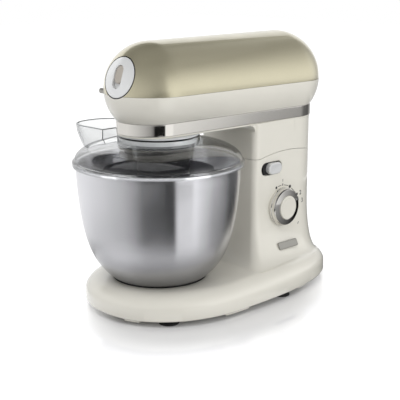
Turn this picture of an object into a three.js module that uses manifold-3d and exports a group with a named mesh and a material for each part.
// A tilt-head stand mixer, built as an assembly of separate pieces.
// Millimetres, +Z up. The nose points along -Y and the speed knob faces +X.
// Inside the assembly the bowl's axis is x = y = 0 and the worktop is z = 0.

import * as THREE from 'three';
import { mergeVertices } from 'three/addons/utils/BufferGeometryUtils.js';
import Module from 'manifold-3d';

const wasm = await Module();
wasm.setup();

// ---------------------------------------------------------------- sizes
const fit = 0.3;              // clearance between pieces that are seated on each other
const running = 0.5;          // clearance round a piece that turns or slides
const seamGap = 0.7;          // visible joint line between neck and column
const wall = 3;               // moulded housing wall

// base plate: half an ellipse in front, a squarer superellipse behind
const baseBottomZ = 7;
const baseTopZ = 43;
const baseHalfWidth = 124;
const baseWidestY = 54;
const baseFrontReach = 157;
const baseFrontPower = 2.2;
const baseRearReach = 252;
const baseRearPower = 2.9;
const baseEdgeInset = 28;     // how far the rounded top edge comes in
const baseEdgeHeight = 20;
const baseFootChamfer = 3;

// column: flat front with rounded corners, round back
const columnHalfWidth = 57;
const columnFrontY = 140;
const columnRearCentreY = 242;
const columnCornerRadius = 13;
const flareTopZ = 125;
const flareShare = 0.7;       // how far the flare goes from the column to the base edge
const flareFrontReach = 60;

// joint line between column and neck: flat, a shallow arch, flat
const seamFlatZ = 197;
const seamArchRise = 6.9;
const seamArchCentreY = 212;
const seamArchRadius = 270;
const deckThickness = 3.5;

// tilt hinge at the back of the column
const hingeY = 284;
const hingeZ = 206;
const knuckleRadius = 11;
const knuckleInner = 20;      // half the length of the middle knuckle
const knuckleOuter = 32;      // half the length of the whole barrel
const rearNotchHalf = 39;     // half the width of the notch over the barrel in the neck's back
const hingePinRadius = 4;
const hingeSeatZ = 194;
const neckRearBottomZ = 219;

// head: a tapered capsule, cut flat at the band and split at its widest line
const noseRadius = 65;
const noseCentreY = -13;
const noseCentreZ = 312;
const rearRadius = 70.8;
const rearCentreY = 242;
const rearCentreZ = 309;
const headSplitZ = 307;
const bandTopZ = 269;
const bandHeight = 17;
const bandThickness = 1.6;
const headWall = 2.6;
const undersideThickness = 2.5;
const lipInset = 0.8;

// attachment hub in the nose
const hubTilt = THREE.MathUtils.degToRad(19);
const hubFaceReach = 57;      // from the nose sphere's centre to the cover's face
const hubCoverRadius = 28.5;
const hubCoverThickness = 5;
const hubSleeveRadius = 24;
const hubSleeveWall = 3;
const hubSleeveBack = 24;
const hubCoverDome = 4.5;      // how far the cover's middle stands out past its rim
const gripLength = 33;
const gripWidth = 16;
const gripPocketDepth = 5.5;  // below the top of the dome
const gripShare = 0.76;       // how much of the pocket the grip fills
const hubShaftRadius = 7;
const hubTangHalf = 4.5;      // half the width of the square drive end
const hubBevelBack = -12;
const hubBevelRadius = 12;
const mainBevelZ = 289;
const mainBevelRadius = 18;
const hubPinRadius = 4;
const hubPinY = -60;
const hubPinZ = 308.5;
const hubPinOuterX = -50.5;
const hubPinInnerX = -12;

// planetary drive, its axis a little behind the bowl's
const driveY = 8.5;
const planetaryRadius = 37.3;
const planetaryTopZ = 243;
const planetaryBottomZ = 202;
const capHeight = 10;
const mainShaftRadius = 8;
const spindleRadius = 6;
const spindleBottomZ = 168;
const hookRadius = 6.5;
const spigotRadius = 45.4;
const spigotWall = 4.9;
const spigotBottomZ = 243.5;
const ringGearTip = 33.2;
const pinionTip = 8.6;
const gearTeeth = 51;
const pinionTeeth = 12;
const mainGearTeeth = 43;
const layPinionTeeth = 11;
const wormWheelTeeth = 30;
const gearHeight = 5.5;

// gear train above the chassis plate
const chassisPlateZ = 254;
const chassisPlateThickness = 4;
const layshaftX = -31;
const layshaftY = driveY + 30;
const layshaftRadius = 4;
const layPinionTip = 9;
const mainGearZ = 262;
const spurGearHeight = 10;
const wormRadius = 6.7;
const wormLength = 36;
const wormLead = 7;           // from the worm's front end to the worm wheel's middle
const wormWheelHeight = 12;
const bridgeZ = 322;
const bridgeThickness = 5;

// motor
const motorZ = 305;
const motorY = 155;
const statorRadius = 38;
const statorLength = 50;
const rotorRadius = 24;
const motorShaftRadius = 3.6;
const endFrameOffset = 36;
const fanRadius = 33;
const commutatorRadius = 11;

// bowl and its seat
const bowlSegments = 28;
const rimZ = 207;
const rimRadius = 116.5;
const bowlFloorRadius = 67.4;
const bowlFloorZ = 44.5;
const bowlBelly = [97.8, 67.9];      // where the wall's curve heads as it leaves the floor
const bowlShoulder = [112.5, 103.7]; // and as it comes up to the rim
const bowlWall = 1.2;
const beadRadius = 1;
const bowlFootRadius = 65;
const seatRadius = bowlFootRadius + 2;
const seatTopZ = 38.6;
const seatThickness = 4;

// splash guard
const guardRadius = 120.8;
const guardWall = 1.8;
const guardTopZ = 247;
const collarRadius = 58;
const collarBottomZ = 239;
const coneBottomZ = 213;
const coneRadius = 40;
const ledgeRadius = spigotRadius + fit;
const chuteTopZ = 249;
const chuteSquareness = 0.85;  // 1 is an ellipse, less is squarer
const chuteInnerX = 70;
const chuteMouthX = 156;
const chuteMouthHalfWidth = 43;
const chuteFootX = 116;
const chuteFootHalfWidth = 48;
const guardLipTop = 213;
const guardSkirtZ = rimZ - 2;

// controls on the +X side of the column
const knobY = 200.5;
const knobZ = 118;
const knobRingRadius = 29.6;
const knobRingHeight = 10.5;
const knobDiscRadius = 18;
const knobDiscProud = 1.8;
const panelX = 58.5;
const leverY = 177.5;
const leverZ = 180.3;
const leverLength = 36;
const leverHeight = 17.5;
const leverTravel = 4;
const pocketDepth = 5;
const pocketMargin = 1.2;
const badgeY = 198;
const badgeZ = 61.5;
const badgeLength = 43;
const badgeHeight = 11.5;
const badgeThickness = 1.4;
const badgeX = 74.5;
const badgeLean = THREE.MathUtils.degToRad(26);

// mains cord inlet low in the column's back
const inletZ = 66;
const inletRadius = 8;

// feet and screws
const footRadius = 14;
const footNeckRadius = 9;
const screwHeadRadius = 4;
const screwHeadHeight = 2;
const screwRadius = 2;
const screwBossRadius = 6;
const coverScrewPlaces = [[0, -80], [92, 60], [-92, 60], [0, 291]];
const hingeScrewPlaces = [[26, 264], [-26, 264]];
const feetPlaces = [
  [73, -50, 'front'],
  [103, 148, 'middle'],
  [70, 256, 'rear'],
];

// ---------------------------------------------------------------- helpers
function closed(geometry) {
  const bare = geometry.index ? geometry.toNonIndexed() : geometry.clone();
  for (const name of Object.keys(bare.attributes)) {
    if (name !== 'position') bare.deleteAttribute(name);
  }
  const merged = mergeVertices(bare, 1e-4);
  const kept = [];
  const index = merged.index.array;
  for (let i = 0; i < index.length; i += 3) {
    const [a, b, c] = [index[i], index[i + 1], index[i + 2]];
    if (a !== b && b !== c && c !== a) kept.push(a, b, c);
  }
  merged.setIndex(kept);
  return merged;
}

function solid(geometry) {
  const merged = closed(geometry);
  return new wasm.Manifold(new wasm.Mesh({
    numProp: 3,
    vertProperties: new Float32Array(merged.attributes.position.array),
    triVerts: new Uint32Array(merged.index.array),
  }));
}

function toGeometry(shape) {
  const mesh = shape.getMesh();
  const geometry = new THREE.BufferGeometry();
  geometry.setAttribute('position', new THREE.BufferAttribute(mesh.vertProperties, 3));
  geometry.setIndex(new THREE.BufferAttribute(mesh.triVerts, 1));
  geometry.computeVertexNormals();
  return geometry;
}

function join(...pieces) {
  return pieces.map(solid).reduce((whole, piece) => whole.add(piece));
}

function cut(body, ...tools) {
  const start = body instanceof THREE.BufferGeometry ? solid(body) : body;
  return tools.reduce((left, tool) => left.subtract(solid(tool)), start);
}

// A profile of [radius, z] points turned about +Z.
function revolve(profile, segments = 24) {
  const points = profile.map(([r, z]) => new THREE.Vector2(r, z));
  return new THREE.LatheGeometry(points, segments).rotateX(Math.PI / 2);
}

function ring(outer, inner, bottomZ, topZ, segments = 20) {
  return revolve([[inner, bottomZ], [outer, bottomZ], [outer, topZ], [inner, topZ], [inner, bottomZ]], segments);
}

function disc(radius, bottomZ, topZ, segments = 20) {
  return revolve([[0, bottomZ], [radius, bottomZ], [radius, topZ], [0, topZ]], segments);
}

function box(minX, maxX, minY, maxY, minZ, maxZ) {
  return new THREE.BoxGeometry(maxX - minX, maxY - minY, maxZ - minZ)
    .translate((minX + maxX) / 2, (minY + maxY) / 2, (minZ + maxZ) / 2);
}

// A cylinder along +X from one x to another.
function barX(radius, minX, maxX, y, z, segments = 20) {
  return disc(radius, minX, maxX, segments).rotateY(Math.PI / 2).translate(0, y, z);
}

// A cylinder along +Y from one y to another.
function barY(radius, minY, maxY, x, z, segments = 20) {
  return disc(radius, -maxY, -minY, segments).rotateX(Math.PI / 2).translate(x, 0, z);
}

// A closed plan outline of [x, y] points, raised from one z to another.
function prism(outline, bottomZ, topZ) {
  const shape = new THREE.Shape(outline.map(([x, y]) => new THREE.Vector2(x, y)));
  return new THREE.ExtrudeGeometry(shape, { depth: topZ - bottomZ, bevelEnabled: false })
    .translate(0, 0, bottomZ);
}

// A pill: a straight bar with round ends, lying along Y in the YZ plane, from one x to another.
function pillX(length, height, minX, maxX, y, z, steps = 5) {
  const radius = height / 2;
  const shape = new THREE.Shape();
  shape.absarc((length - height) / 2, 0, radius, -Math.PI / 2, Math.PI / 2);
  shape.absarc(-(length - height) / 2, 0, radius, Math.PI / 2, 1.5 * Math.PI);
  return new THREE.ExtrudeGeometry(shape, { depth: maxX - minX, bevelEnabled: false, curveSegments: steps })
    .rotateX(Math.PI / 2)
    .rotateZ(Math.PI / 2)
    .translate(minX, y, z);
}

// Rings of [x, y] points at rising heights, skinned and capped at both ends. A height is one
// number for the whole ring or a list with one for each of its points.
function loft(rings, heights) {
  const count = rings[0].length;
  const position = [];
  const index = [];
  const heightAt = (level, i) => (Array.isArray(heights[level]) ? heights[level][i] : heights[level]);
  rings.forEach((points, level) => points.forEach(([x, y], i) => position.push(x, y, heightAt(level, i))));
  for (let level = 0; level + 1 < rings.length; level += 1) {
    for (let i = 0; i < count; i += 1) {
      const a = level * count + i;
      const b = level * count + (i + 1) % count;
      index.push(a, b, b + count, a, b + count, a + count);
    }
  }
  const capCentre = (points, z) => {
    const x = points.reduce((sum, point) => sum + point[0], 0) / count;
    const y = points.reduce((sum, point) => sum + point[1], 0) / count;
    position.push(x, y, z);
    return position.length / 3 - 1;
  };
  const low = capCentre(rings[0], heightAt(0, 0));
  const high = capCentre(rings.at(-1), heightAt(rings.length - 1, 0));
  const last = (rings.length - 1) * count;
  for (let i = 0; i < count; i += 1) {
    const next = (i + 1) % count;
    index.push(low, next, i, high, last + i, last + next);
  }
  const geometry = new THREE.BufferGeometry();
  geometry.setAttribute('position', new THREE.Float32BufferAttribute(position, 3));
  geometry.setIndex(index);
  return geometry;
}

function mix(from, to, share) {
  return from.map(([x, y], i) => [x + (to[i][0] - x) * share, y + (to[i][1] - y) * share]);
}

// ---------------------------------------------------------------- outlines
const outlineSteps = 32;

// The base plate's outline, counter-clockwise from the rear, moved in by inset.
function baseOutline(inset, steps = outlineSteps) {
  const points = [];
  for (let i = 0; i < steps; i += 1) {
    const angle = Math.PI / 2 + (i / steps) * 2 * Math.PI;
    const [c, s] = [Math.cos(angle), Math.sin(angle)];
    const power = 2 / (s > 0 ? baseRearPower : baseFrontPower);
    const reach = s > 0 ? baseRearReach : baseFrontReach;
    points.push([
      Math.sign(c) * Math.abs(c) ** power * (baseHalfWidth - inset),
      baseWidestY + Math.sign(s) * Math.abs(s) ** power * (reach - inset),
    ]);
  }
  return points;
}

// The column's outline moved in by inset: the same start, turn and count as baseOutline.
function columnOutline(inset, steps = outlineSteps) {
  const half = columnHalfWidth - inset;
  const corner = Math.max(columnCornerRadius - inset, 2);
  const front = columnFrontY + inset;
  const path = new THREE.Path();
  path.absarc(0, columnRearCentreY, half, Math.PI / 2, Math.PI, false);
  path.lineTo(-half, front + corner);
  path.absarc(-half + corner, front + corner, corner, Math.PI, 1.5 * Math.PI, false);
  path.lineTo(half - corner, front);
  path.absarc(half - corner, front + corner, corner, 1.5 * Math.PI, 2 * Math.PI, false);
  path.lineTo(half, columnRearCentreY);
  path.absarc(0, columnRearCentreY, half, 0, Math.PI / 2, false);
  return path.getSpacedPoints(steps).slice(0, steps).map((point) => [point.x, point.y]);
}

// The line where the flare runs out on the base plate.
function flareOutline(inset) {
  const column = columnOutline(inset);
  return column.map(([x, y]) => {
    const angle = Math.atan2(y - columnRearCentreY, x);
    const edge = baseOutline(inset, 240);
    if (y < columnRearCentreY) {
      const share = (columnRearCentreY - y) / (columnRearCentreY - columnFrontY);
      const side = nearestX(edge, y);
      return [Math.sign(x) * side * Math.min(Math.abs(x) / columnHalfWidth, 1), y - share * flareFrontReach];
    }
    return alongRay(edge, angle);
  });
}

function nearestX(edge, y) {
  let best = edge[0];
  for (const point of edge) {
    if (point[0] > 0 && Math.abs(point[1] - y) < Math.abs(best[1] - y)) best = point;
  }
  return best[0];
}

function alongRay(edge, angle) {
  let best = edge[0];
  let least = Infinity;
  for (const point of edge) {
    const off = Math.abs(Math.atan2(point[1] - columnRearCentreY, point[0]) - angle);
    if (off < least) [best, least] = [point, off];
  }
  return best;
}

// A stadium that is wider at the back, as the head is where the band goes round it.
function bandOutline(inset, arcSteps = 8) {
  const cutRadius = (radius, centreZ) => Math.sqrt(radius ** 2 - (centreZ - bandTopZ) ** 2) - inset;
  const nose = cutRadius(noseRadius, noseCentreZ);
  const rear = cutRadius(rearRadius, rearCentreZ);
  const lean = Math.asin((rear - nose) / (rearCentreY - noseCentreY));
  const points = [];
  for (let i = 0; i <= arcSteps; i += 1) {
    const angle = -lean + (i / arcSteps) * (Math.PI + 2 * lean);
    points.push([rear * Math.cos(angle), rearCentreY + rear * Math.sin(angle)]);
  }
  for (let i = 0; i <= arcSteps; i += 1) {
    const angle = Math.PI + lean + (i / arcSteps) * (Math.PI - 2 * lean);
    points.push([nose * Math.cos(angle), noseCentreY + nose * Math.sin(angle)]);
  }
  return points;
}

// The tapered capsule of the head, smaller by inset.
function capsule(inset, arcSteps = 5, segments = 24) {
  const length = rearCentreY - noseCentreY;
  const tilt = Math.atan2(noseCentreZ - rearCentreZ, length);
  const nose = noseRadius - inset;
  const rear = rearRadius - inset;
  const lean = Math.asin((rear - nose) / length);
  const profile = [];
  for (let i = 0; i <= arcSteps; i += 1) {
    const angle = -Math.PI / 2 + (i / arcSteps) * (Math.PI / 2 - lean);
    profile.push([nose * Math.cos(angle), nose * Math.sin(angle)]);
  }
  for (let i = 0; i <= arcSteps; i += 1) {
    const angle = -lean + (i / arcSteps) * (Math.PI / 2 + lean);
    profile.push([rear * Math.cos(angle), length + rear * Math.sin(angle)]);
  }
  profile[0][0] = 0;
  profile.at(-1)[0] = 0;
  return revolve(profile, segments)
    .rotateX(-Math.PI / 2 - tilt)
    .translate(0, noseCentreY, noseCentreZ);
}

// Everything below the joint line, moved up by raise, as a slab across the column.
function belowSeam(raise, bottomZ) {
  const reach = Math.sqrt(2 * seamArchRadius * seamArchRise);
  const outline = [[-1000, bottomZ], [1000, bottomZ], [1000, seamFlatZ + raise]];
  const steps = 6;
  for (let i = 0; i <= steps; i += 1) {
    const offset = reach - (2 * reach * i) / steps;
    outline.push([
      seamArchCentreY + offset,
      seamFlatZ + raise + seamArchRise - offset ** 2 / (2 * seamArchRadius),
    ]);
  }
  outline.push([-1000, seamFlatZ + raise]);
  return prism(outline, -500, 500).rotateX(Math.PI / 2).rotateZ(Math.PI / 2);
}

// Turns a shape built along +Z onto the hub's axis, z = 0 at the nose sphere's centre.
function ontoHub(geometry) {
  return geometry.rotateX(Math.PI / 2 - hubTilt).translate(0, noseCentreY, noseCentreZ);
}

// A gear with shallow straight teeth: outward, or inward on a ring.
function gearOutline(tip, depth, teeth, inward = false) {
  const points = [];
  const root = inward ? tip + depth : tip - depth;
  for (let i = 0; i < teeth; i += 1) {
    [[0, root], [0.5, tip]].forEach(([share, radius]) => {
      const angle = ((i + share) / teeth) * 2 * Math.PI;
      points.push([radius * Math.cos(angle), radius * Math.sin(angle)]);
    });
  }
  return points;
}

// ---------------------------------------------------------------- materials
function finish(color, roughness, metalness, extra = {}) {
  return new THREE.MeshStandardMaterial({ color, roughness, metalness, ...extra });
}

const cream = finish(0xe6e1d2, 0.25, 0);
const champagne = finish(0xb3ab8c, 0.28, 0.6);
const chrome = finish(0xc9c8c6, 0.12, 1);
const satinSteel = finish(0xb4b4b6, 0.32, 1);
const silver = finish(0xcfcfcf, 0.3, 0.7);
const darkPlastic = finish(0x3a3b40, 0.25, 0);
const blackPlastic = finish(0x141415, 0.4, 0);
const rubber = finish(0x1b1b1c, 0.8, 0);
const clear = finish(0xeef2f4, 0.05, 0, { transparent: true, opacity: 0.3 });
const cast = finish(0x9a9c9e, 0.5, 0.8);
const nylon = finish(0xe9e6da, 0.5, 0);
const copper = finish(0xb06a3b, 0.4, 0.9);
const bronze = finish(0xa9834b, 0.4, 0.9);
const board = finish(0x2f6b43, 0.6, 0);

const assembly = new THREE.Group();
const baseGroup = new THREE.Group();
const headGroup = new THREE.Group();
const bowlGroup = new THREE.Group();
assembly.add(baseGroup, headGroup, bowlGroup);

function add(group, name, shape, material, place = [0, 0, 0]) {
  const geometry = shape instanceof THREE.BufferGeometry ? closed(shape) : toGeometry(shape);
  if (shape instanceof THREE.BufferGeometry) geometry.computeVertexNormals();
  const mesh = new THREE.Mesh(geometry, material);
  mesh.name = name;
  mesh.position.set(...place);
  group.add(mesh);
  return mesh;
}

// ---------------------------------------------------------------- base
// Base plate and column as one skin, smaller by inset.
function baseSkin(inset, bottomZ) {
  const edgeLevels = [0, 0.55, 0.87, 1];
  const plateRings = [baseOutline(inset + baseFootChamfer), baseOutline(inset)];
  const plateHeights = [bottomZ, Math.max(bottomZ, baseBottomZ) + baseFootChamfer];
  edgeLevels.forEach((level) => {
    plateRings.push(baseOutline(inset + baseEdgeInset * (1 - Math.sqrt(1 - level ** 2))));
    plateHeights.push(baseTopZ - baseEdgeHeight - inset + level * baseEdgeHeight);
  });
  const plate = loft(plateRings, plateHeights);
  const column = columnOutline(inset);
  const spread = flareOutline(inset);
  const footZ = column.map(([x, y], i) => {
    const toEdge = (1 - flareShare) * Math.hypot(spread[i][0] - x, spread[i][1] - y);
    const level = Math.sqrt(1 - Math.max(1 - toEdge / baseEdgeInset, 0) ** 2);
    return baseTopZ - inset - baseEdgeHeight * (1 - level);
  });
  const flareLevels = [1, 0.9, 0.7, 0.4, 0];
  const columnRings = [mix(column, spread, flareShare - 0.08)];
  const columnHeights = [footZ.map((z) => z - 6)];
  flareLevels.forEach((level) => {
    columnRings.push(mix(column, spread, flareShare * (1 - Math.sqrt(1 - level ** 2))));
    columnHeights.push(footZ.map((z) => flareTopZ - level * (flareTopZ - z)));
  });
  columnRings.push(column);
  columnHeights.push(seamFlatZ + 30);
  return solid(plate).add(solid(loft(columnRings, columnHeights)));
}

const pocketLength = leverLength + 2 * leverTravel + 2 * pocketMargin;
const pocketHeight = leverHeight + 2 * pocketMargin;
const pocketFloorX = columnHalfWidth - pocketDepth;
const knobPadX = panelX + 1;
const coverTopZ = baseBottomZ + wall;
const hubAxisPoint = (reach) => [
  noseCentreY - reach * Math.cos(hubTilt),
  noseCentreZ + reach * Math.sin(hubTilt),
];

function baseHousing() {
  const outer = baseSkin(0, baseBottomZ).intersect(solid(belowSeam(0, -10)));
  const hollow = baseSkin(wall, baseBottomZ - 20).intersect(solid(belowSeam(-deckThickness, -60)));
  const knobPad = barX(knobRingRadius - fit, columnHalfWidth - 8, knobPadX, knobY, knobZ, 24);
  const pocketPad = pillX(pocketLength + 2 * wall, pocketHeight + 2 * wall,
    pocketFloorX - wall, columnHalfWidth - 1, leverY, leverZ);
  const seatPad = disc(seatRadius + wall, seatTopZ - seatThickness - wall, baseTopZ - 1, 24);
  const hingePad = box(-knuckleOuter - 5, knuckleOuter + 5, 256, 297, hingeSeatZ - 17, seamFlatZ - 1);
  const springRib = box(24, columnHalfWidth - 1, leverY - 30, leverY - 27, leverZ - 6, leverZ + 6);
  const bosses = coverScrewPlaces.map(([x, y]) => disc(screwBossRadius, coverTopZ + fit, baseTopZ - wall + 1, 12)
    .translate(x, y, 0));
  const rearScrewY = coverScrewPlaces.at(-1)[1];
  const rearRib = box(-screwBossRadius / 2, screwBossRadius / 2, rearScrewY + screwRadius + 1, 400,
    coverTopZ + fit, baseTopZ - wall);
  const shell = outer.subtract(hollow)
    .add(solid(knobPad))
    .add(solid(pocketPad))
    .add(solid(seatPad))
    .add(solid(hingePad).intersect(outer))
    .add(solid(springRib))
    .add(join(...bosses))
    .add(solid(rearRib).intersect(outer));
  return cut(
    shell,
    ...coverScrewPlaces.map(([x, y]) => disc(screwRadius + fit, 0, coverTopZ + 11, 8).translate(x, y, 0)),
    disc(screwRadius + fit, 20, baseTopZ, 8),
    ...hingeScrewPlaces.map(([x, y]) => disc(screwRadius + fit, hingeSeatZ - 9, hingeSeatZ + 5, 8).translate(x, y, 0)),
    barX(knobRingRadius + 1, knobPadX, knobPadX + 40, knobY, knobZ, 24),
    barX(6, 20, knobPadX + 1, knobY, knobZ),
    pillX(pocketLength, pocketHeight, pocketFloorX, columnHalfWidth + 20, leverY, leverZ),
    box(pocketFloorX - 10, pocketFloorX + 1, leverY - 12, leverY + 8, leverZ - 5, leverZ + 5),
    disc(seatRadius + fit, seatTopZ - seatThickness - fit, baseTopZ + 10, 24),
    box(-knuckleOuter - 1, knuckleOuter + 1, 255, 330, hingeSeatZ, seamFlatZ + 40),
    barX(knuckleRadius + 1, -knuckleInner - 1, knuckleInner + 1, hingeY, hingeZ),
    box(-8, 8, 154, 184, 150, seamFlatZ + 40),
    barY(inletRadius, columnRearCentreY, 330, 0, inletZ),
    placeBadge(pillBlock(badgeLength + 2 * fit, badgeHeight + 2 * fit, -badgeThickness, 20)),
  );
}

// A block with rounded corners, length along Y and height along Z, built outward along +X.
function pillBlock(length, height, minX, maxX) {
  const radius = 2.5;
  const [a, b] = [length / 2 - radius, height / 2 - radius];
  const shape = new THREE.Shape();
  shape.absarc(a, b, radius, 0, Math.PI / 2);
  shape.absarc(-a, b, radius, Math.PI / 2, Math.PI);
  shape.absarc(-a, -b, radius, Math.PI, 1.5 * Math.PI);
  shape.absarc(a, -b, radius, 1.5 * Math.PI, 2 * Math.PI);
  return new THREE.ExtrudeGeometry(shape, { depth: maxX - minX, bevelEnabled: false, curveSegments: 3 })
    .rotateX(Math.PI / 2)
    .rotateZ(Math.PI / 2)
    .translate(minX, 0, 0);
}

// The badge lies on the flare, leaning back with it.
function placeBadge(geometry) {
  return geometry.rotateY(-badgeLean).translate(badgeX, badgeY, badgeZ);
}
add(baseGroup, 'base_housing', baseHousing(), cream);

function bottomCover() {
  const inset = wall + fit;
  const plate = prism(baseOutline(inset + baseFootChamfer), baseBottomZ, coverTopZ);
  const skirt = cut(
    prism(baseOutline(inset + baseFootChamfer), baseBottomZ - 3.5, baseBottomZ + 1),
    prism(baseOutline(inset + baseFootChamfer + 4), baseBottomZ - 10, baseBottomZ),
  );
  const tabSpans = [[19, 63], [180, 202]];
  const tabs = tabSpans.map(([from, to]) => box(-200, 200, from, to, 0, baseBottomZ + 1));
  const frontTabs = [[30, 51], [-51, -30]].map(([from, to]) => box(from, to, -150, -60, 0, baseBottomZ + 1));
  const keep = join(...tabs, ...frontTabs);
  return cut(
    solid(plate).add(skirt.intersect(keep)),
    ...coverScrewPlaces.map(([x, y]) => disc(screwRadius + fit, 0, 50, 8).translate(x, y, 0)),
    ...coverScrewPlaces.map(([x, y]) => disc(screwHeadRadius + fit, 0, baseBottomZ + screwHeadHeight, 12)
      .translate(x, y, 0)),
  );
}
add(baseGroup, 'bottom_cover', bottomCover(), cream);

feetPlaces.forEach(([x, y, where]) => {
  const foot = revolve([
    [0, 2], [footRadius - 3, 0], [footRadius, 0], [footRadius, 1.5], [footNeckRadius, 4.5],
    [footNeckRadius, baseBottomZ - fit], [0, baseBottomZ - fit],
  ], 12);
  add(baseGroup, `${where}_right_foot`, foot, rubber, [x, y, 0]);
  add(baseGroup, `${where}_left_foot`, foot, rubber, [-x, y, 0]);
});

// Seat plate for the bowl's foot.
function bowlSeat() {
  return cut(
    disc(seatRadius, seatTopZ - seatThickness, seatTopZ, 24),
    disc(screwRadius + fit, 0, 60, 8),
  );
}
add(baseGroup, 'bowl_seat', bowlSeat(), blackPlastic);

// A screw put in from above: the underside of its head is at seatZ.
function screw(seatZ, length) {
  return join(
    disc(screwHeadRadius, seatZ, seatZ + screwHeadHeight, 12),
    disc(screwRadius, seatZ - length, seatZ + 0.5, 8),
  );
}
add(baseGroup, 'seat_screw', screw(seatTopZ + fit, seatThickness + fit + wall - 0.5), satinSteel);

// ---------------------------------------------------------------- tilt hinge
function hingeBracket() {
  const plate = box(-knuckleOuter, knuckleOuter, 258, 270, hingeSeatZ + fit, hingeSeatZ + 5);
  const cheeks = [-1, 1].map((side) => {
    const inner = knuckleInner + running;
    const [from, to] = side > 0 ? [inner, knuckleOuter] : [-knuckleOuter, -inner];
    return join(
      barX(knuckleRadius, from, to, hingeY, hingeZ),
      box(from, to, 259, hingeY + knuckleRadius, hingeSeatZ + fit, hingeSeatZ + 5),
    );
  });
  const withinColumn = solid(prism(columnOutline(fit), 0, 300));
  return cut(
    solid(plate).add(cheeks[0]).add(cheeks[1]).intersect(withinColumn),
    barX(hingePinRadius + fit, -50, 50, hingeY, hingeZ, 20),
    ...hingeScrewPlaces.map(([x, y]) => disc(screwRadius + fit, 0, 300, 8).translate(x, y, 0)),
  );
}
add(baseGroup, 'hinge_bracket', hingeBracket(), cast);
hingeScrewPlaces.forEach(([x, y], i) => {
  add(baseGroup, `${['right', 'left'][i]}_hinge_screw`, screw(hingeSeatZ + 5 + fit, 12), satinSteel, [x, y, 0]);
});
add(baseGroup, 'hinge_pin', barX(hingePinRadius, -knuckleOuter - 0.6, knuckleOuter + 0.6, hingeY, hingeZ, 20),
  satinSteel);

// ---------------------------------------------------------------- controls
add(baseGroup, 'speed_switch', cut(
  barX(21, panelX - 26, columnHalfWidth - 8 - fit, knobY, knobZ),
  barX(3 + fit, panelX - 22 - fit, panelX, knobY, knobZ, 16),
), blackPlastic);
add(baseGroup, 'control_board', box(panelX - 28, panelX - 26 - fit, knobY - 32, knobY + 32,
  knobZ - 30, knobZ + 34), board);

function knobRing() {
  const back = knobPadX + fit;
  const front = back + knobRingHeight;
  return cut(
    revolve([[0, back], [knobRingRadius, back], [knobRingRadius, front - 2.5],
      [knobRingRadius - 1.5, front], [0, front]], 24).rotateY(Math.PI / 2).translate(0, knobY, knobZ),
    barX(knobDiscRadius + fit, back + 2, front + 5, knobY, knobZ, 24),
    barX(5, back - 5, front, knobY, knobZ, 16),
  );
}
const knobGroup = new THREE.Group();
baseGroup.add(knobGroup);
add(knobGroup, 'knob_ring', knobRing(), chrome);
function speedKnob() {
  const back = knobPadX + 2 + 2 * fit;
  const front = knobPadX + fit + knobRingHeight + knobDiscProud;
  const body = revolve([
    [0, back], [knobDiscRadius, back], [knobDiscRadius, front - 1.2], [knobDiscRadius - 1.2, front], [0, front],
  ], 24).rotateY(Math.PI / 2).translate(0, knobY, knobZ);
  const shaft = barX(3, panelX - 22, back + 1, knobY, knobZ, 16);
  return join(body, shaft);
}
add(knobGroup, 'speed_knob', speedKnob(), cream);

function releaseLever() {
  const back = pocketFloorX + running;
  const front = columnHalfWidth + 5;
  const face = pillX(leverLength, leverHeight, back, front, leverY, leverZ);
  const stem = box(8, back + 1, leverY - 6, leverY + 6, leverZ - 3.5, leverZ + 3.5);
  return join(face, stem);
}
add(baseGroup, 'release_lever', releaseLever(), silver);

// Return spring between the housing's rib and the lever's stem.
function coil(radius, wire, from, to, turns, x, z) {
  class Helix extends THREE.Curve {
    getPoint(t, target = new THREE.Vector3()) {
      const angle = t * turns * 2 * Math.PI;
      return target.set(x + radius * Math.cos(angle), from + (to - from) * t, z + radius * Math.sin(angle));
    }
  }
  const section = new THREE.Shape();
  section.absarc(0, 0, wire, 0, 2 * Math.PI);
  return new THREE.ExtrudeGeometry(section, {
    steps: turns * 6, extrudePath: new Helix(), curveSegments: 2, bevelEnabled: false,
  });
}
add(baseGroup, 'lever_spring', coil(3, 0.6, leverY - 27 + 1, leverY - 6 - 1, 6, 32, leverZ), satinSteel);

add(baseGroup, 'badge_plate', placeBadge(pillBlock(badgeLength, badgeHeight, fit - badgeThickness, 0.6)), silver);

add(baseGroup, 'cord_inlet', revolve([
  [4, -10], [inletRadius - fit, -10], [inletRadius - fit, 0], [inletRadius + 3, 0.3], [inletRadius + 2, 3],
  [4, 5], [4, -10],
], 24).rotateX(-Math.PI / 2).translate(0, 302.5, inletZ), rubber);

// ---------------------------------------------------------------- head
const plateBottom = chassisPlateZ;
const plateTop = chassisPlateZ + chassisPlateThickness;
const lipTopZ = bandTopZ - bandHeight - fit;
const lipBottomZ = lipTopZ - undersideThickness;

function neckCover() {
  const outer = prism(columnOutline(0), seamFlatZ - 20, lipTopZ - 0.5);
  const cove = columnCornerRadius;
  const coveBlock = cut(
    box(-columnHalfWidth + 1, columnHalfWidth - 1, columnFrontY - cove, columnFrontY + 2,
      lipBottomZ - cove, lipBottomZ + 1),
    barX(cove, -100, 100, columnFrontY - cove, lipBottomZ - cove, 24),
  );
  const underside = solid(prism(bandOutline(lipInset), lipBottomZ, lipTopZ));
  const hollow = prism(columnOutline(wall), seamFlatZ - 30, lipTopZ + 5);
  const rearCut = box(-rearNotchHalf, rearNotchHalf, 262, 330, 150, neckRearBottomZ);
  return cut(
    solid(outer).add(coveBlock).add(underside).subtract(solid(belowSeam(seamGap, 0))),
    hollow,
    rearCut,
    disc(spigotRadius + fit, 0, 2 * bandTopZ, 24).translate(0, driveY, 0),
  );
}
add(headGroup, 'neck_cover', neckCover(), cream);

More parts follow.
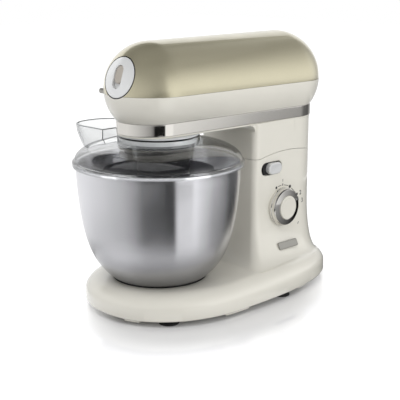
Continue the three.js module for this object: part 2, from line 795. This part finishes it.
function chromeBand() {
  const outer = prism(bandOutline(0), bandTopZ - bandHeight, bandTopZ - fit);
  const inner = prism(bandOutline(bandThickness), 0, 2 * bandTopZ);
  return cut(outer, inner);
}
add(headGroup, 'chrome_band', chromeBand(), chrome);

function headShell(bottomZ, topZ) {
  const slab = solid(box(-200, 200, -300, 500, bottomZ, topZ));
  const skin = solid(capsule(0)).subtract(solid(capsule(headWall, 4, 20)));
  return cut(
    skin.intersect(slab),
    ontoHub(disc(hubCoverRadius + 1, hubFaceReach - hubCoverThickness - 1, 200, 24)),
    ontoHub(disc(hubSleeveRadius + fit, 0, 200, 24)),
    barX(hubPinRadius + running, -100, 0, hubPinY, hubPinZ, 20),
  );
}
add(headGroup, 'head_lower_shell', headShell(bandTopZ, headSplitZ - fit), cream);
add(headGroup, 'head_upper_shell', headShell(headSplitZ, 500), champagne);

function headChassis() {
  const plate = prism(bandOutline(bandThickness + running), plateBottom, plateTop);
  const rim = cut(
    prism(bandOutline(bandThickness + running), plateTop - 1, bandTopZ - 3),
    prism(bandOutline(bandThickness + running + 2.5), 0, 400),
  );
  const spigot = disc(spigotRadius, spigotBottomZ, plateBottom + 1, 24).translate(0, driveY, 0);
  const mainBoss = disc(mainShaftRadius + 5, spigotBottomZ + 5, plateTop + 3).translate(0, driveY, 0);
  const layBoss = disc(layshaftRadius + 4, plateTop - 1, plateTop + 3, 20).translate(layshaftX, layshaftY, 0);
  const cradleTop = motorZ - 14;
  const cradles = [-18, 18].map((offset) => cut(
    box(-32, 32, motorY + offset - 3, motorY + offset + 3, plateTop - 1, cradleTop),
    barY(statorRadius + fit, 0, 400, 0, motorZ, 24),
  ));
  const tail = box(-knuckleInner + 2, knuckleInner - 2, hingeY - 8, hingeY + 8, hingeZ, plateBottom + 1);
  const knuckle = barX(knuckleRadius, -knuckleInner, knuckleInner, hingeY, hingeZ);
  const striker = box(-4, 4, 165, 173, leverZ - 4, plateBottom + 1);
  const posts = bridgePosts.map(([x, y]) => disc(4, plateTop - 1, bridgeZ - fit, 14).translate(x, y, 0));
  const bored = cut(
    join(plate, spigot),
    disc(spigotRadius - spigotWall, spigotBottomZ - 5, plateBottom, 24).translate(0, driveY, 0),
  ).add(rim).add(join(mainBoss, layBoss, tail, knuckle, striker, ...posts))
    .add(cradles[0]).add(cradles[1]);
  return cut(
    bored,
    disc(mainShaftRadius + 2 + fit, 0, 2 * plateTop, 24).translate(0, driveY, 0),
    disc(layshaftRadius + fit, plateTop - 2, bandTopZ, 20).translate(layshaftX, layshaftY, 0),
    barX(hingePinRadius + fit, -50, 50, hingeY, hingeZ, 20),
  );
}
const bridgePosts = [[-40, 4], [39, 15], [36, 50]];
add(headGroup, 'head_chassis', headChassis(), cast);
add(headGroup, 'main_bush', ring(mainShaftRadius + 2, mainShaftRadius + fit, spigotBottomZ + 5,
  plateTop + 3), bronze, [0, driveY, 0]);

const wormFrontY = layshaftY - wormLead;
function gearBridge() {
  const outline = [[-46, -3], [44, -3], [44, 56], [-36, 56], [-46, 38]];
  const lug = box(-7, 7, wormFrontY - 6, wormFrontY - 2, motorZ - 8, bridgeZ + 1);
  return cut(
    join(prism(outline, bridgeZ, bridgeZ + bridgeThickness), lug),
    disc(mainShaftRadius + fit, bridgeZ - 1, bridgeZ + 50, 24).translate(0, driveY, 0),
    disc(layshaftRadius + fit, bridgeZ - 1, bridgeZ + 50, 20).translate(layshaftX, layshaftY, 0),
    barY(motorShaftRadius + fit, 0, wormFrontY, 0, motorZ, 16),
  );
}
add(headGroup, 'gear_bridge', gearBridge(), cast);

const ringGearTop = plateBottom - fit;
function ringGear() {
  return cut(
    disc(spigotRadius - spigotWall - fit, ringGearTop - gearHeight, ringGearTop, 24),
    prism(gearOutline(ringGearTip, 1.4, gearTeeth, true), 0, 400),
  );
}
add(headGroup, 'ring_gear', ringGear(), nylon, [0, driveY, 0]);

// ---------------------------------------------------------------- planetary drive
const spindleOffset = ringGearTip - pinionTip - running;
const planetaryGroup = new THREE.Group();
headGroup.add(planetaryGroup);
planetaryGroup.position.set(0, driveY, 0);
function planetaryHousing() {
  const cupWall = 2.6;
  return cut(
    join(
      disc(planetaryRadius, planetaryBottomZ, planetaryTopZ, 24),
      disc(mainShaftRadius + 3, planetaryTopZ - 1, spigotBottomZ + 5 - fit),
    ),
    disc(planetaryRadius - cupWall, planetaryBottomZ - 1, planetaryTopZ - 5, 24),
    disc(mainShaftRadius + fit, 0, 400),
    disc(spindleRadius + fit, 0, 400, 20).translate(0, -spindleOffset, 0),
  );
}
add(planetaryGroup, 'planetary_housing', planetaryHousing(), darkPlastic);
add(planetaryGroup, 'planetary_cap', cut(
  disc(planetaryRadius, planetaryBottomZ - capHeight, planetaryBottomZ - fit, 24),
  disc(planetaryRadius - 3, planetaryBottomZ - capHeight + 3, planetaryBottomZ, 24),
  disc(spindleRadius + running, 0, 400, 20).translate(0, -spindleOffset, 0),
), blackPlastic);
add(planetaryGroup, 'main_shaft', disc(mainShaftRadius, planetaryTopZ - 6, bridgeZ + bridgeThickness + 1, 24),
  satinSteel);
const mainGearTip = Math.hypot(layshaftX, layshaftY - driveY) - layPinionTip - running;
add(planetaryGroup, 'main_gear', cut(
  prism(gearOutline(mainGearTip, 1.2, mainGearTeeth), mainGearZ, mainGearZ + spurGearHeight),
  disc(mainShaftRadius + fit, 0, 400, 24),
), nylon);

add(planetaryGroup, 'main_bevel', cut(
  revolve([
    [0, mainBevelZ], [mainBevelRadius, mainBevelZ], [mainBevelRadius, mainBevelZ + 6],
    [mainBevelRadius - 7, mainBevelZ + 14], [0, mainBevelZ + 14],
  ], 24),
  disc(mainShaftRadius + fit, 0, 400, 24),
), satinSteel);

const spindleGroup = new THREE.Group();
planetaryGroup.add(spindleGroup);
spindleGroup.position.set(0, -spindleOffset, 0);
add(spindleGroup, 'output_spindle', join(
  disc(spindleRadius, spindleBottomZ, ringGearTop, 20),
  barX(1.6, -9, 9, 0, spindleBottomZ + 8, 10),
), satinSteel);
add(spindleGroup, 'planet_pinion', cut(
  prism(gearOutline(pinionTip, 1.3, pinionTeeth), ringGearTop - gearHeight, ringGearTop),
  disc(spindleRadius + fit, 0, 400, 20),
), bronze);

function doughHook() {
  const collar = cut(
    disc(10, spindleBottomZ - 2, planetaryBottomZ - capHeight - 3, 24),
    disc(spindleRadius + fit, spindleBottomZ - fit, 300, 20),
    box(-20, 20, -2, 2, spindleBottomZ + 5, 400),
  );
  const path = new THREE.CatmullRomCurve3([
    [0, 0, spindleBottomZ - 1], [0, 0, spindleBottomZ - 14], [20, 8, 138], [33, 6, 112], [24, -14, 88],
    [4, -20, 72], [-14, -10, 64], [-18, 6, 66],
  ].map((point) => new THREE.Vector3(...point)), false, 'centripetal');
  const section = new THREE.Shape();
  section.absarc(0, 0, hookRadius, 0, 2 * Math.PI);
  const rod = new THREE.ExtrudeGeometry(section, {
    steps: 16, extrudePath: path, curveSegments: 3, bevelEnabled: false,
  });
  const top = disc(hookRadius + 1.5, spindleBottomZ - 8, spindleBottomZ - fit, 20);
  return collar.add(solid(rod)).add(solid(top));
}
add(spindleGroup, 'dough_hook', doughHook(), cast);

// ---------------------------------------------------------------- gear train
const layGroup = new THREE.Group();
headGroup.add(layGroup);
layGroup.position.set(layshaftX, layshaftY, 0);
const wormWheelTip = -layshaftX - wormRadius - running;
add(layGroup, 'layshaft', disc(layshaftRadius, plateTop - 2 + fit, bridgeZ + bridgeThickness + 1, 20), satinSteel);
add(layGroup, 'lay_pinion', cut(
  prism(gearOutline(layPinionTip, 1.2, layPinionTeeth), mainGearZ, mainGearZ + spurGearHeight),
  disc(layshaftRadius + fit, 0, 400, 20),
), satinSteel);
add(layGroup, 'worm_wheel', cut(
  prism(gearOutline(wormWheelTip, 1.4, wormWheelTeeth), motorZ - wormWheelHeight / 2, motorZ + wormWheelHeight / 2),
  disc(layshaftRadius + fit, 0, 400, 20),
), nylon);

const rotorGroup = new THREE.Group();
headGroup.add(rotorGroup);
const statorFront = motorY - statorLength / 2;
const statorRear = motorY + statorLength / 2;
const frontFrameY = motorY - endFrameOffset;
const rearFrameY = motorY + endFrameOffset;
const fanY = rearFrameY + 8;
function statorStack() {
  const stack = barY(statorRadius, statorFront, statorRear, 0, motorZ, 24);
  return cut(stack, barY(rotorRadius + running, 0, 400, 0, motorZ, 24));
}
add(headGroup, 'motor_stator', statorStack(), cast);
[['front', statorFront - 7, statorFront - fit], ['rear', statorRear + fit, statorRear + 7]]
  .forEach(([where, from, to]) => add(headGroup, `${where}_winding`, cut(
    barY(statorRadius - 3, from, to, 0, motorZ, 24),
    barY(rotorRadius + 2, 0, 400, 0, motorZ, 24),
  ), copper));
[['front', frontFrameY, statorFront - 7 - fit], ['rear', rearFrameY, statorRear + 7 + fit]]
  .forEach(([where, y, inner]) => {
    const spider = barY(statorRadius - 4, y - 2, y + 2, 0, motorZ, 24);
    const rimWall = barY(statorRadius - 4, Math.min(y, inner), Math.max(y, inner), 0, motorZ, 24);
    add(headGroup, `${where}_end_frame`, cut(
      join(spider, rimWall).subtract(solid(
        barY(statorRadius - 7, Math.min(y + 2, inner), Math.max(y - 2, inner), 0, motorZ, 24),
      )),
      barY(motorShaftRadius + fit, 0, 400, 0, motorZ, 16),
    ), cast);
  });
['right', 'left'].forEach((where, i) => {
  const holder = box(commutatorRadius + running, commutatorRadius + 12, statorRear + 2, rearFrameY - 2 - fit,
    motorZ - 3, motorZ + 3);
  add(headGroup, `${where}_brush_holder`, i === 0 ? holder : holder.rotateY(Math.PI).translate(0, 0, 2 * motorZ), bronze);
});
add(rotorGroup, 'rotor', join(
  barY(rotorRadius, statorFront + 1, statorRear - 1, 0, motorZ, 24),
  barY(motorShaftRadius, wormFrontY - 6.5, fanY + 6, 0, motorZ, 16),
), satinSteel);
add(rotorGroup, 'commutator', cut(
  barY(commutatorRadius, statorRear + 1, statorRear + 7, 0, motorZ, 24),
  barY(motorShaftRadius + fit, 0, 400, 0, motorZ, 16),
), copper);
add(rotorGroup, 'worm', cut(
  barY(wormRadius, wormFrontY, wormFrontY + wormLength, 0, motorZ, 16),
  barY(motorShaftRadius + fit, 0, 400, 0, motorZ, 16),
), satinSteel);
function coolingFan() {
  const hub = barY(8, fanY - 4, fanY + 5, 0, motorZ, 16);
  const backing = barY(fanRadius, fanY - 4, fanY - 2.5, 0, motorZ, 24);
  const count = 8;
  const blades = [...Array(count).keys()].map((i) => box(6, fanRadius - 1, -0.8, 0.8, -4, 4)
    .rotateX(Math.PI / 2)
    .rotateY((i / count) * 2 * Math.PI)
    .translate(0, fanY, motorZ));
  return cut(join(hub, backing, ...blades), barY(motorShaftRadius + fit, 0, 400, 0, motorZ, 16));
}
add(rotorGroup, 'cooling_fan', coolingFan(), darkPlastic);

// ---------------------------------------------------------------- attachment hub
const coverFront = hubFaceReach;
const coverBack = hubFaceReach - hubCoverThickness;
function attachmentHub() {
  const sleeve = ontoHub(ring(hubSleeveRadius, hubSleeveRadius - hubSleeveWall, hubSleeveBack, coverBack - fit, 24));
  const web = ontoHub(disc(hubSleeveRadius - 1, hubSleeveBack, hubSleeveBack + 3, 24));
  const legY = hubAxisPoint(hubSleeveBack + 14)[0];
  const leg = cut(
    box(-13, 13, legY - 3, legY + 3, plateTop + fit, hubAxisPoint(0)[1]),
    ontoHub(disc(hubSleeveRadius - 1, 0, 200, 24)),
  );
  return cut(
    join(sleeve, web).add(leg),
    ontoHub(disc(hubShaftRadius + fit, 0, 200, 20)),
    barX(hubPinRadius + fit, -100, 0, hubPinY, hubPinZ, 20),
  );
}
add(headGroup, 'attachment_hub', attachmentHub(), cast);
add(headGroup, 'hub_drive_shaft', join(
  ontoHub(disc(hubShaftRadius, hubBevelBack + 2, coverBack - 16, 20)),
  ontoHub(box(-hubTangHalf, hubTangHalf, -hubTangHalf, hubTangHalf, coverBack - 17, coverBack - 3)),
  ontoHub(revolve([
    [0, hubBevelBack], [5, hubBevelBack], [hubBevelRadius, hubBevelBack + 6],
    [hubBevelRadius, hubBevelBack + 9], [0, hubBevelBack + 9],
  ], 24)),
), satinSteel);
const coverTop = coverFront + hubCoverDome;
function hubCover() {
  const flatRadius = hubCoverRadius - 1.5;
  const dome = [0.9, 0.7, 0.45, 0].map((share) => [flatRadius * share, coverFront + hubCoverDome * (1 - share ** 2)]);
  const cover = revolve([
    [0, coverBack], [hubCoverRadius, coverBack], [hubCoverRadius, coverFront - 1], [flatRadius, coverFront], ...dome,
  ], 24);
  return cut(ontoHub(cover), ontoHub(pill(gripLength, gripWidth, coverTop - gripPocketDepth, coverTop + 5)));
}
// A pill standing on the hub's axis, its length in the axis's upright plane.
function pill(length, width, from, to) {
  const half = (length - width) / 2;
  const shape = new THREE.Shape();
  shape.absarc(0, half, width / 2, 0, Math.PI);
  shape.absarc(0, -half, width / 2, Math.PI, 2 * Math.PI);
  return new THREE.ExtrudeGeometry(shape, { depth: to - from, bevelEnabled: false, curveSegments: 6 })
    .translate(0, 0, from);
}
add(headGroup, 'hub_cover', hubCover(), silver);
const gripPieceLength = gripLength * gripShare;
add(headGroup, 'hub_cover_grip', ontoHub(
  pill(gripPieceLength, gripWidth - 2 * fit, coverTop - gripPocketDepth + fit, coverTop - 2)
    .translate(0, (gripLength - gripPieceLength) / 2 - fit, 0),
), darkPlastic);
add(headGroup, 'hub_release_pin', barX(hubPinRadius - fit, hubPinOuterX, hubPinInnerX, hubPinY, hubPinZ, 16),
  satinSteel);

// ---------------------------------------------------------------- splash guard
function chuteOutline(outerX, halfWidth, steps = 8) {
  const points = [[-chuteInnerX, halfWidth]];
  const centre = (chuteInnerX + outerX) / 2;
  for (let i = 0; i <= steps; i += 1) {
    const angle = Math.PI / 2 + (i / steps) * Math.PI;
    const [c, s] = [Math.cos(angle), Math.sin(angle)];
    points.push([
      -centre - Math.abs(c) ** chuteSquareness * (outerX - centre),
      Math.sign(s) * Math.abs(s) ** chuteSquareness * halfWidth,
    ]);
  }
  points.push([-chuteInnerX, -halfWidth]);
  return points;
}
// The chute's body, smaller by inset and carried on past its mouth and foot by extra.
function chuteSolid(inset, extra) {
  const levels = [0, 0.33, 0.67, 1];
  const bottomZ = rimZ + 3;
  const rings = levels.map((level) => {
    const spread = Math.sin(level * Math.PI / 2);
    const reach = chuteFootX + (chuteMouthX - chuteFootX) * spread;
    const halfWidth = chuteFootHalfWidth + (chuteMouthHalfWidth - chuteFootHalfWidth) * spread;
    return chuteOutline(reach - inset, halfWidth - inset)
      .map(([x, y]) => [Math.min(x, -chuteInnerX - inset), y]);
  });
  const heights = levels.map((level) => bottomZ + level * (chuteTopZ - bottomZ));
  if (extra > 0) {
    rings.unshift(rings[0]);
    rings.push(rings.at(-1));
    heights.unshift(bottomZ - extra);
    heights.push(chuteTopZ + extra);
  }
  return loft(rings, heights);
}
function splashGuard() {
  const domeSteps = 4;
  const dome = (offset) => [...Array(domeSteps + 1).keys()].map((i) => {
    const angle = (i / domeSteps) * (Math.PI / 2) * 0.9;
    const reach = collarRadius + (guardRadius - 3 - collarRadius) * Math.cos(angle) ** 1.15;
    return [reach - offset * 0.6, guardLipTop + (collarBottomZ - guardLipTop) * Math.sin(angle) - offset];
  });
  const outside = dome(0);
  const inside = dome(guardWall).reverse();
  const lid = revolve([
    [guardRadius - guardWall, guardSkirtZ], [guardRadius, guardSkirtZ], [guardRadius, guardLipTop - 2], ...outside,
    [collarRadius, collarBottomZ], [collarRadius, guardTopZ - 1.5], [collarRadius - 1.5, guardTopZ],
    [20, guardTopZ], [20, guardTopZ - 2], [collarRadius - guardWall, guardTopZ - 2],
    [collarRadius - guardWall, collarBottomZ - guardWall],
    ...inside, [guardRadius - guardWall, guardLipTop - guardWall - 1], [guardRadius - guardWall, guardSkirtZ],
  ], bowlSegments);
  const cone = revolve([
    [coneRadius, coneBottomZ], [coneRadius + guardWall, coneBottomZ], [ledgeRadius + guardWall, guardTopZ - 1],
    [ledgeRadius, guardTopZ - 1], [coneRadius, coneBottomZ],
  ], bowlSegments).translate(0, driveY, 0);
  const under = solid(revolve(
    [[0, 150], [guardRadius - 3, 150], ...dome(guardWall / 2), [0, collarBottomZ]],
    bowlSegments,
  ));
  const chute = solid(chuteSolid(0, 0)).subtract(under);
  return cut(
    join(lid, cone).add(chute).subtract(solid(chuteSolid(guardWall, 8))),
    disc(ledgeRadius, guardTopZ - 4, guardTopZ + 5, bowlSegments).translate(0, driveY, 0),
  );
}
add(headGroup, 'splash_guard', splashGuard(), clear);

// ---------------------------------------------------------------- bowl
function bowlShell() {
  const curve = new THREE.CubicBezierCurve(
    new THREE.Vector2(bowlFloorRadius, bowlFloorZ),
    new THREE.Vector2(...bowlBelly),
    new THREE.Vector2(...bowlShoulder),
    new THREE.Vector2(rimRadius, rimZ),
  );
  const outside = curve.getPoints(7).map((point) => [point.x, point.y]);
  const inside = curve.getPoints(6).reverse().map((point) => [point.x - bowlWall, point.y + bowlWall * 0.7]);
  inside[0][1] = rimZ;
  const bead = [
    [rimRadius, rimZ - 2], [rimRadius + beadRadius, rimZ - 2], [rimRadius + beadRadius + 0.4, rimZ],
    [rimRadius + beadRadius, rimZ + 1.2], [rimRadius + 0.6, rimZ + 2], [rimRadius - bowlWall, rimZ + 1.4],
  ];
  return revolve([
    [0, bowlFloorZ], ...outside.slice(0, -1), ...bead, ...inside, [0, bowlFloorZ + bowlWall],
  ], bowlSegments);
}
add(bowlGroup, 'bowl', bowlShell(), satinSteel);
add(bowlGroup, 'bowl_foot', revolve([
  [bowlFootRadius - 12, bowlFloorZ - fit], [bowlFootRadius - 12, seatTopZ + fit],
  [bowlFootRadius, seatTopZ + fit], [bowlFootRadius, bowlFloorZ - fit],
  [bowlFootRadius - 12, bowlFloorZ - fit],
], 32), blackPlastic);

// The whole assembly stands with the centre of its bounding box's bottom at the origin.
assembly.updateMatrixWorld(true);
const bounds = new THREE.Box3().setFromObject(assembly, true);
const centre = bounds.getCenter(new THREE.Vector3());
const model = new THREE.Group();
assembly.position.set(-centre.x, -centre.y, -bounds.min.z);
model.add(assembly);
model.updateMatrixWorld(true);

export default model;
